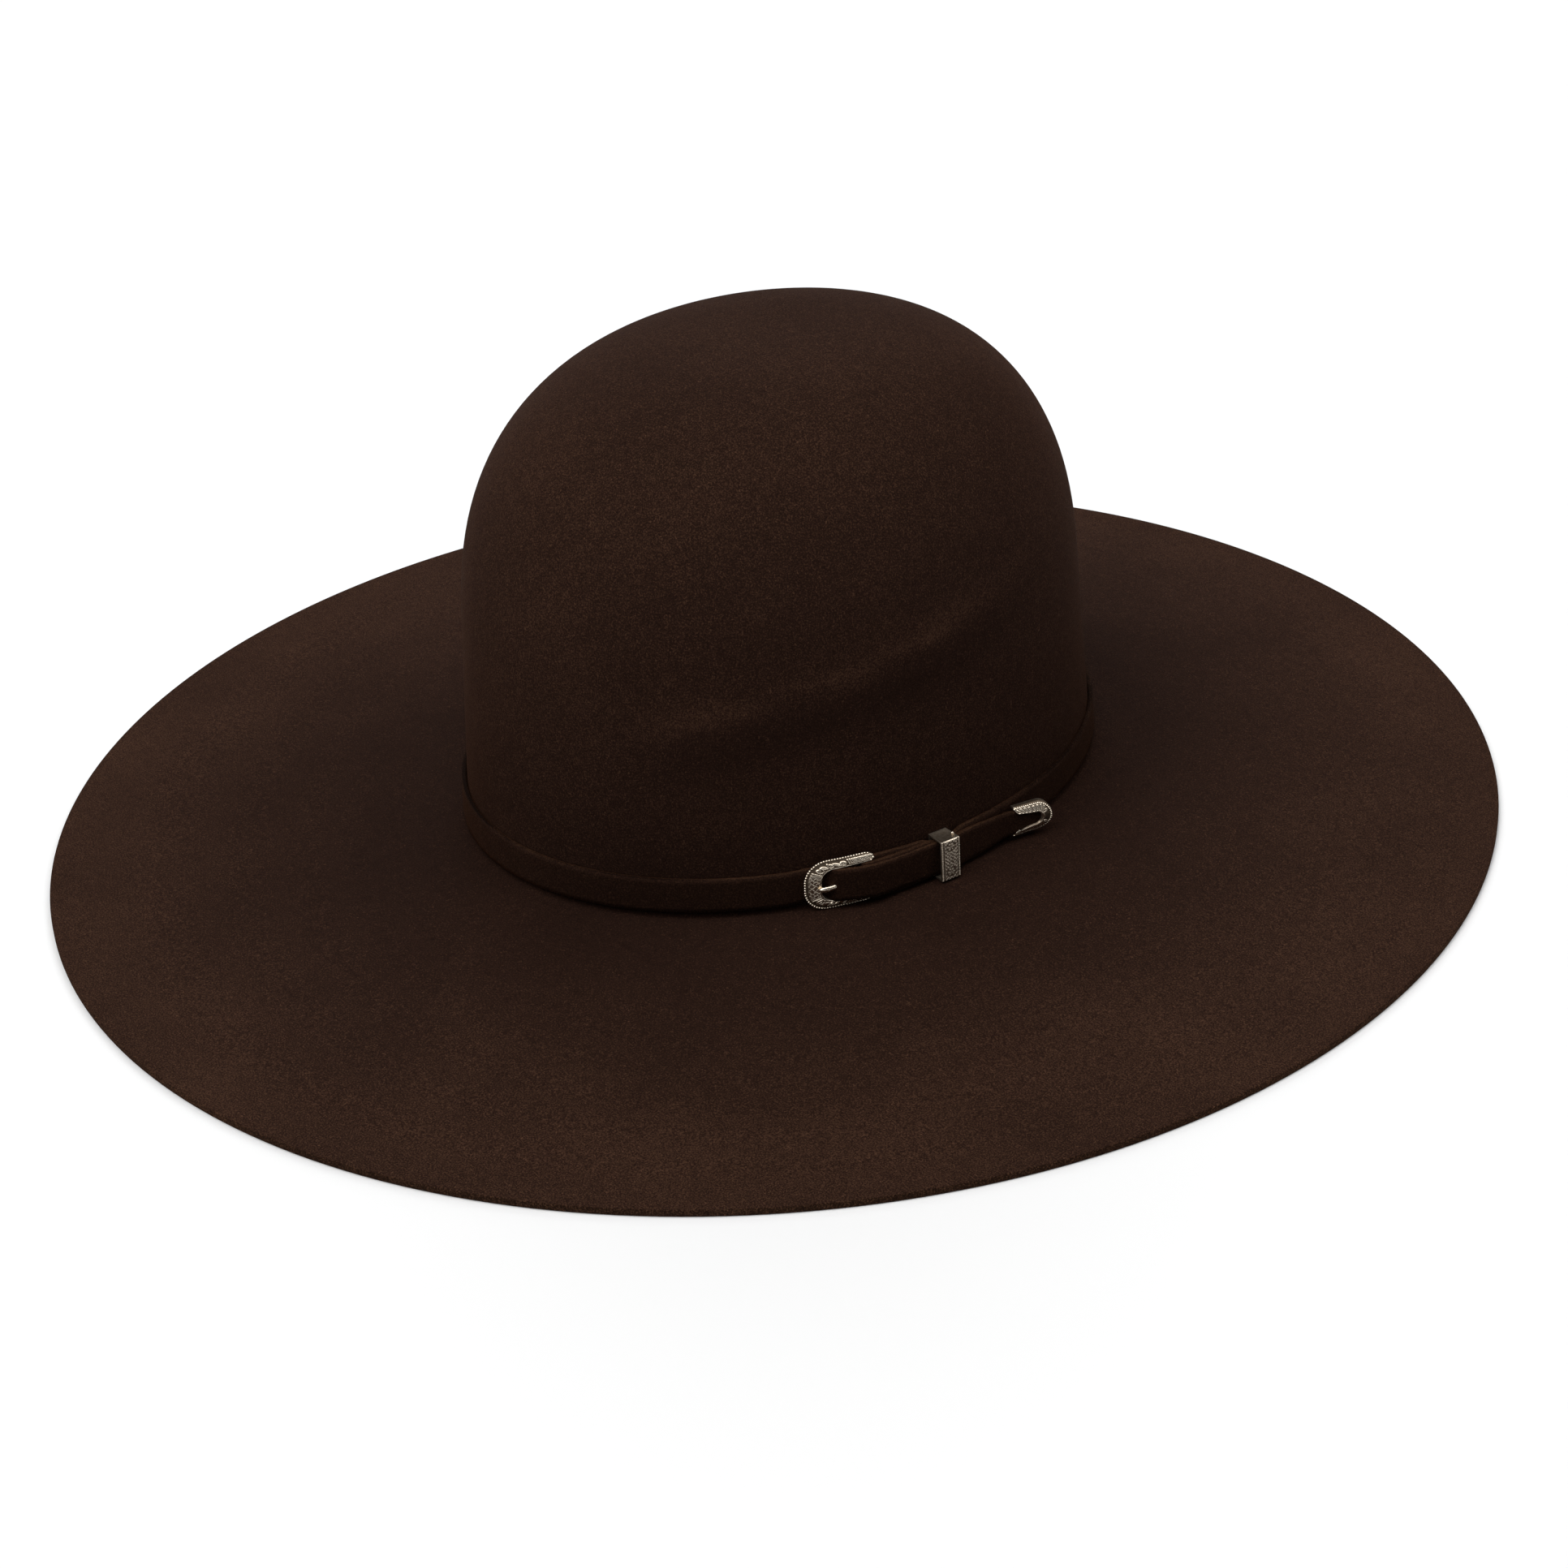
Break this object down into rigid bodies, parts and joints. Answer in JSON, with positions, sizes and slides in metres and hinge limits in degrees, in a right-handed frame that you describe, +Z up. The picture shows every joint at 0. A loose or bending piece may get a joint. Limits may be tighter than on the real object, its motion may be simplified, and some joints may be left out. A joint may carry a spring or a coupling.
{
  "type": "felt hat",
  "caption": "Wide-brimmed felt hat with a high rounded uncreased crown and a narrow felt band fastened by a small cast metal buckle, keeper and tip.",
  "frame": {"origin": "on the surface that the hat rests on, under the middle of the brim's length and width", "axes": "+Y towards the back of the hat, +X towards the wearer's left, +Z up"},
  "size_m": [0.432, 0.46, 0.1484],
  "materials": {
    "felt": "fine short felt nap, dark brown",
    "band_felt": "felt strap with raw cut edges, dark brown",
    "silver": "antiqued cast silver, darkened in its recesses"
  },
  "bodies": {
    "root": {"felt_body": "felt", "hat_band": "band_felt", "buckle_frame": "silver", "buckle_tongue": "silver", "keeper": "silver", "strap_tip": "silver"}
  },
  "joints": []
}
